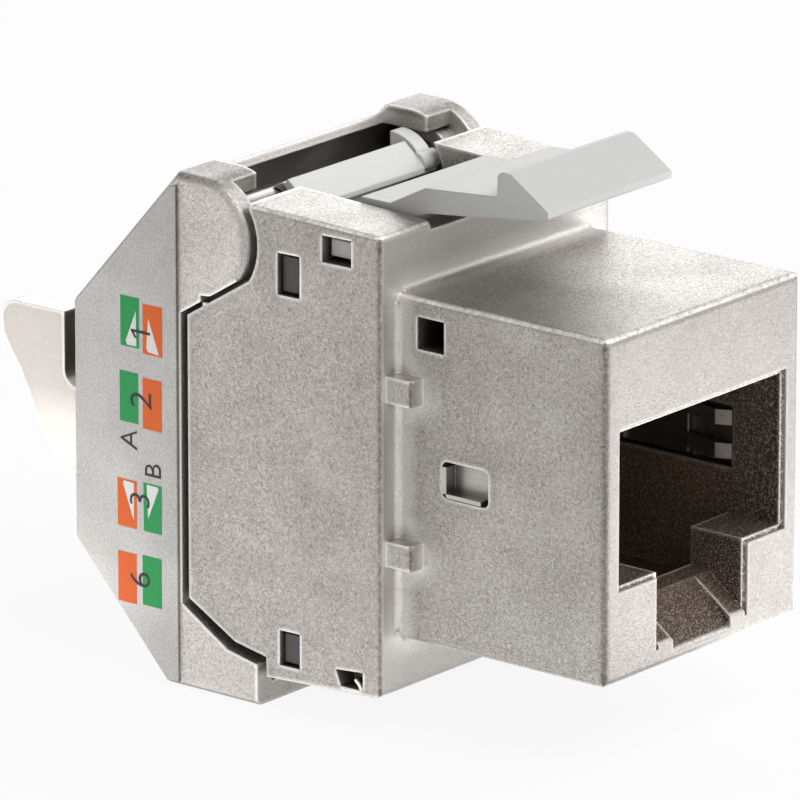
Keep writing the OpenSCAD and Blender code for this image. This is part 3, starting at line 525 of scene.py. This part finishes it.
def film_finish(name, shade, metal):
    """Clear film on the casting, which shows the metal's grain through it."""
    material, paint = new_finish(name)
    spot = paint.place()
    grain = paint.noise(spot, metal.grain_size, 3.0, 0.65)
    cloud = paint.noise(spot, metal.cloud_size, 3.0)
    tone = paint.span(0.7 * grain + 0.3 * cloud, 0.30, 0.70)
    rounded, edge = paint.edge(0.08 * MM)
    base = paint.mix(tone, shaded(shade, 0.72), shaded(shade, 1.25))
    # The film's edges darkened with the casting's speck and shade tone
    base = paint.mix(0.7 * edge, base, metal.cast_speck_and_shade)
    paint.surface(Base_Color=base, Metallic=0.85, Roughness=0.40 + 0.14 * (grain - 0.5),
                  Normal=paint.bump(grain, 0.008 * MM, rounded))
    return material


def ink_finish(name, shade):
    """Printed ink: a slightly mottled flat colour."""
    material, paint = new_finish(name)
    spot = paint.place()
    mottle = paint.noise(spot, 0.15 * MM, 3.0, 0.6)
    base = paint.mix(mottle, shaded(shade, 0.82), shaded(shade, 1.14))
    paint.surface(Base_Color=base, Specular_IOR_Level=0.2, Roughness=0.5 + 0.1 * mottle,
                  Normal=paint.bump(mottle, 0.003 * MM))
    return material


def add_patch(mesh, outline, inner, outer):
    """Adds one flat patch of print between two X planes; its outline is in (Y, Z) millimetres."""
    rings = [[mesh.verts.new((x * MM, y * MM, z * MM)) for y, z in outline] for x in (inner, outer)]
    count = len(outline)
    for i in range(count):
        j = (i + 1) % count
        mesh.faces.new((rings[0][i], rings[0][j], rings[1][j], rings[1][i]))
    mesh.faces.new(rings[0][::-1])
    mesh.faces.new(rings[1])


def box_outline(field):
    """The corners of a field given by its limits in Y and Z."""
    y0, y1, z0, z1 = field
    return [(y0, z0), (y1, z0), (y1, z1), (y0, z1)]


def add_sign(mesh, sign, centre, height, side, inner, outer):
    """Adds a digit or letter whose top points to the rear."""
    curve = bpy.data.curves.new("sign", "FONT")
    curve.body = sign
    curve.resolution_u = 6
    curve.extrude = 0.5
    curve.offset = -0.012
    text = bpy.data.objects.new("sign", curve)
    bpy.context.scene.collection.objects.link(text)
    bpy.context.view_layer.update()
    flat = bpy.data.meshes.new_from_object(text.evaluated_get(bpy.context.evaluated_depsgraph_get()))
    bpy.data.objects.remove(text)
    bpy.data.curves.remove(curve)
    low = Vector(map(min, *[tuple(v.co) for v in flat.vertices]))
    high = Vector(map(max, *[tuple(v.co) for v in flat.vertices]))
    middle = (low + high) / 2
    scale = height / (high.y - low.y)
    for vertex in flat.vertices:
        along, up, out = vertex.co - middle
        vertex.co = (MM * (outer if out > 0 else inner), MM * (centre[0] + scale * up),
                     MM * (centre[1] - side * scale * along))
    mesh.from_mesh(flat)
    bpy.data.meshes.remove(flat)


def add_one(mesh, centre, height, side, inner, outer):
    """Adds a digit one with a slanted flag, whose top points to the rear."""
    shape = [(0.06, 0.0), (0.17, 0.0), (0.17, 1.0), (0.09, 1.0), (-0.17, 0.82), (-0.17, 0.70), (0.06, 0.85)]
    outline = [(centre[0] + height * (up - 0.5), centre[1] - side * height * along) for along, up in shape]
    add_patch(mesh, outline, inner, outer)


def print_piece(name, mesh, material):
    """Turns a layer of print into a piece that rides on the cover."""
    bmesh.ops.recalc_face_normals(mesh, faces=mesh.faces)
    data = bpy.data.meshes.new(name)
    mesh.to_mesh(data)
    mesh.free()
    data.materials.append(material)
    piece = bpy.data.objects.new(name, data)
    bpy.context.scene.collection.objects.link(piece)
    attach(piece, "cover")


def print_label(side_name, rear, front, ink):
    """The print of one label: fields of two colours, white wedges, digits and letters."""
    side = {"left": -1, "right": 1}[side_name]
    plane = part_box(f"wiring_label_{side_name}")[0 if side < 0 else 1].x / MM
    step = side * bpy.context.scene.jack_print.print_thick / MM
    layers = [plane - step, plane + step, plane + 2 * step, plane + 3 * step]
    shades = {rear: bmesh.new(), front: bmesh.new()}
    for row, pair in FIELDS.items():
        upper = row.startswith("upper")
        for place, field in pair.items():
            shade = rear if (place == "rear") == upper else front
            add_patch(shades[shade], box_outline(field), layers[0], layers[1])
    for shade, mesh in shades.items():
        print_piece(f"print_{side_name}_{shade}", mesh, ink[shade])
    wedges = bmesh.new()
    for outline in WEDGES:
        add_patch(wedges, outline, layers[0], layers[2])
    print_piece(f"print_{side_name}_white", wedges, ink["white"])
    signs = bmesh.new()
    for digit, (y, z, height) in zip(DIGITS[side_name], SIGNS):
        add = add_one if digit == "1" else partial(add_sign, sign=digit)
        add(signs, centre=(y, z), height=height, side=side, inner=layers[0], outer=layers[3])
    for letter, y, z, height in LETTERS:
        add_sign(signs, letter, (y, z), height, side, layers[0], layers[3])
    print_piece(f"print_{side_name}_signs", signs, ink["signs"])


class JACK_OT_castings(bpy.types.Operator):
    """Gives the body and the hinged cover their die-cast finish"""
    bl_idname = "jack.castings"
    bl_label = "Castings"

    def execute(self, context):
        metal = context.scene.jack_metal
        dress(["front_housing"], cast_finish("body_die_cast", metal, port=PORT))
        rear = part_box("wiring_label_left")[1].y / MM
        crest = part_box("rear_cover")[1].z / MM
        # The cover is the body's metal painted lighter as painted light, and it is darker in patches near its
        # crest
        dress(["rear_cover"], cast_finish("cover_die_cast", metal, smooth_from=rear + 0.4,
                                          patchy_from=crest - 0.45, closed=0.8, gain=1.3, grainy=0.65))
        return {"FINISHED"}


class JACK_OT_pin_and_springs(bpy.types.Operator):
    """Gives the hinge pin and the two ground springs their bright metal"""
    bl_idname = "jack.pin_and_springs"
    bl_label = "Hinge pin and ground springs"

    def execute(self, context):
        metal = context.scene.jack_metal
        dress(["hinge_pin"], sheet_finish("ground_pin_steel", metal.pin_tint, 0.24, 0.1 * MM))
        dress(SPRINGS, sheet_finish("tinned_spring_sheet", metal.spring_tint, 0.30, 0.12 * MM))
        return {"FINISHED"}


class JACK_OT_contacts(bpy.types.Operator):
    """Gives the eight contacts and their carrier their finishes"""
    bl_idname = "jack.contacts"
    bl_label = "Contacts and carrier"

    def execute(self, context):
        metal, plastic = context.scene.jack_metal, context.scene.jack_plastic
        dress(CONTACTS, sheet_finish("gilt_contact_wire", metal.contact_tint, 0.26, 0.06 * MM))
        dress(["contact_carrier"], moulded_finish("carrier_black", plastic.carrier_tint, plastic.skin_size,
                                                  0.46, 1.8))
        return {"FINISHED"}


class JACK_OT_terminals(bpy.types.Operator):
    """Gives the board, the terminal block and the eight terminals their finishes"""
    bl_idname = "jack.terminals"
    bl_label = "Board and terminals"

    def execute(self, context):
        metal, plastic = context.scene.jack_metal, context.scene.jack_plastic
        dress(["circuit_board"], board_finish("board_lacquer", plastic))
        dress(["terminal_block"], moulded_finish("block_dark_grey", plastic.block_tint, plastic.skin_size,
                                                 0.42, 1.6))
        dress(TERMINALS, sheet_finish("tinned_terminal", metal.terminal_tint, 0.28, 0.08 * MM))
        return {"FINISHED"}


class JACK_OT_mouldings(bpy.types.Operator):
    """Gives the panel latch and the wire manager their moulded finishes"""
    bl_idname = "jack.mouldings"
    bl_label = "Panel latch and wire manager"

    def execute(self, context):
        plastic = context.scene.jack_plastic
        dress(["panel_latch"], moulded_finish("latch_light_grey", plastic.latch_tint, plastic.skin_size, 0.5,
                                              sheen=0.2))
        dress(["wire_manager"], moulded_finish("manager_white", plastic.manager_tint, plastic.skin_size, 0.36))
        soften("panel_latch", plastic.latch_round)
        return {"FINISHED"}


class JACK_OT_labels(bpy.types.Operator):
    """Lays the film and the wiring print on both sides of the cover"""
    bl_idname = "jack.labels"
    bl_label = "Wiring labels"

    def execute(self, context):
        print_look = context.scene.jack_print
        dress(LABELS, film_finish("label_clear_film", print_look.film_tint, context.scene.jack_metal))
        ink = {shade: ink_finish(f"ink_{shade}", getattr(print_look, f"{shade}_tint"))
               for shade in ("green", "orange", "blue", "brown", "white")}
        ink["signs"] = ink_finish("ink_signs", print_look.sign_tint)
        print_label("left", "green", "orange", ink)
        print_label("right", "blue", "brown", ink)
        return {"FINISHED"}


class JACK_OT_stage(bpy.types.Operator):
    """Sets up the floor, the lamps, the surroundings and the camera"""
    bl_idname = "jack.stage"
    bl_label = "Stage"

    def execute(self, context):
        look = context.scene.jack_stage
        context.scene.view_settings.view_transform = "Standard"
        make_floor(look)
        make_world(look)
        for name, (setting, place, size) in LAMPS.items():
            make_lamp(name, getattr(look, setting), place, size)
        for name, (setting, place, size, turn) in CARDS.items():
            make_card(name, getattr(look, setting), place, size, turn)
        make_camera(look)
        return {"FINISHED"}


def seen_white(paint):
    """One where the camera, a reflection or a clear piece looks, nought for light that is scattered."""
    path = paint.node("ShaderNodeLightPath", output="Is Camera Ray")
    rays = path.socket.node.outputs
    return path | Strand(paint, rays["Is Glossy Ray"]) | Strand(paint, rays["Is Transmission Ray"])


def make_floor(look):
    """A plain pale floor under the jack, which keeps its shadow."""
    level = CAD_BOX[0].z - 0.01 * MM
    corners = [(-1, -1), (1, -1), (1, 1), (-1, 1)]
    data = bpy.data.meshes.new("floor")
    data.from_pydata([(FLOOR_HALF * x, FLOOR_HALF * y, level) for x, y in corners], [], [(0, 1, 2, 3)])
    floor = bpy.data.objects.new("floor", data)
    bpy.context.scene.collection.objects.link(floor)
    material, paint = new_finish("floor_pale")
    matt = paint.node("ShaderNodeBsdfDiffuse", {}, {"Color": (*look.floor_tint, 1.0)})
    white = paint.node("ShaderNodeEmission", {}, {"Color": (1.0, 1.0, 1.0, 1.0), "Strength": 1.0})
    both = paint.node("ShaderNodeMixShader", {}, [FLOOR_WHITE * seen_white(paint), matt, white])
    paint.node("ShaderNodeOutputMaterial", {}, {"Surface": both})
    data.materials.append(material)


def make_world(look):
    """White surroundings for the eye and for reflections, a softer level for scattered light."""
    world = bpy.data.worlds.new("studio")
    world.use_nodes = True
    bpy.context.scene.world = world
    paint = Paint(world.node_tree)
    seen = seen_white(paint)
    soft = paint.node("ShaderNodeBackground", {}, {"Color": (1.0, 1.0, 1.0, 1.0), "Strength": look.ambient})
    white = paint.node("ShaderNodeBackground", {}, {"Color": (1.0, 1.0, 1.0, 1.0), "Strength": 1.0})
    both = paint.node("ShaderNodeMixShader", {}, [seen, soft, white])
    paint.node("ShaderNodeOutputWorld", {}, {"Surface": both})


def make_lamp(name, energy, place, size):
    """A soft square lamp that faces the jack."""
    data = bpy.data.lights.new(name, "AREA")
    data.energy = energy
    data.size = size
    lamp = bpy.data.objects.new(name, data)
    lamp.location = place
    lamp.rotation_euler = Vector(place).to_track_quat("Z", "Y").to_euler()
    bpy.context.scene.collection.objects.link(lamp)
    return lamp


def make_card(name, energy, place, size, turn):
    """A soft lamp that lies on the floor and faces up, so that upright faces reflect it."""
    card = make_lamp(name, energy, (*place, 0.0), size[0])
    card.data.shape = "RECTANGLE"
    card.data.size_y = size[1]
    card.location.z = CAD_BOX[0].z + 0.02 * MM
    card.rotation_euler = (math.pi, 0.0, turn)
    card.visible_camera = False


def make_camera(look):
    """The camera at the photograph's angle, for a square frame."""
    data = bpy.data.cameras.new("camera")
    data.sensor_width = 36.0
    data.lens = look.lens
    data.clip_start, data.clip_end = 0.01, 10.0
    camera = bpy.data.objects.new("camera", data)
    camera.matrix_world = Matrix.Translation(CAMERA_PLACE) @ Matrix(CAMERA_AXES).transposed().to_4x4()
    bpy.context.scene.collection.objects.link(camera)
    bpy.context.scene.camera = camera


STEPS = (JACK_OT_castings, JACK_OT_pin_and_springs, JACK_OT_contacts, JACK_OT_terminals, JACK_OT_mouldings,
         JACK_OT_labels, JACK_OT_stage)
GROUPS = {"jack_metal": JackMetal, "jack_plastic": JackPlastic, "jack_print": JackPrint,
          "jack_stage": JackStage}


class JACK_PT_panel(bpy.types.Panel):
    """Lists the jack's steps and what may be changed"""
    bl_idname = "JACK_PT_panel"
    bl_label = "Shielded modular jack"
    bl_space_type = "VIEW_3D"
    bl_region_type = "UI"
    bl_category = "Jack"

    def draw(self, context):
        for step in STEPS:
            self.layout.operator(step.bl_idname)
        for group, kind in GROUPS.items():
            column = self.layout.box().column()
            column.label(text=kind.__doc__)
            for name in kind.__annotations__:
                column.prop(getattr(context.scene, group), name)


def register():
    for kind in (*GROUPS.values(), *STEPS, JACK_PT_panel):
        bpy.utils.register_class(kind)
    for group, kind in GROUPS.items():
        setattr(bpy.types.Scene, group, PointerProperty(type=kind))


def unregister():
    for group in GROUPS:
        delattr(bpy.types.Scene, group)
    for kind in (JACK_PT_panel, *reversed(STEPS), *GROUPS.values()):
        bpy.utils.unregister_class(kind)


def main():
    register()
    bpy.ops.jack.castings()
    bpy.ops.jack.pin_and_springs()
    bpy.ops.jack.contacts()
    bpy.ops.jack.terminals()
    bpy.ops.jack.mouldings()
    bpy.ops.jack.labels()
    bpy.ops.jack.stage()


if __name__ == "__main__":
    main()
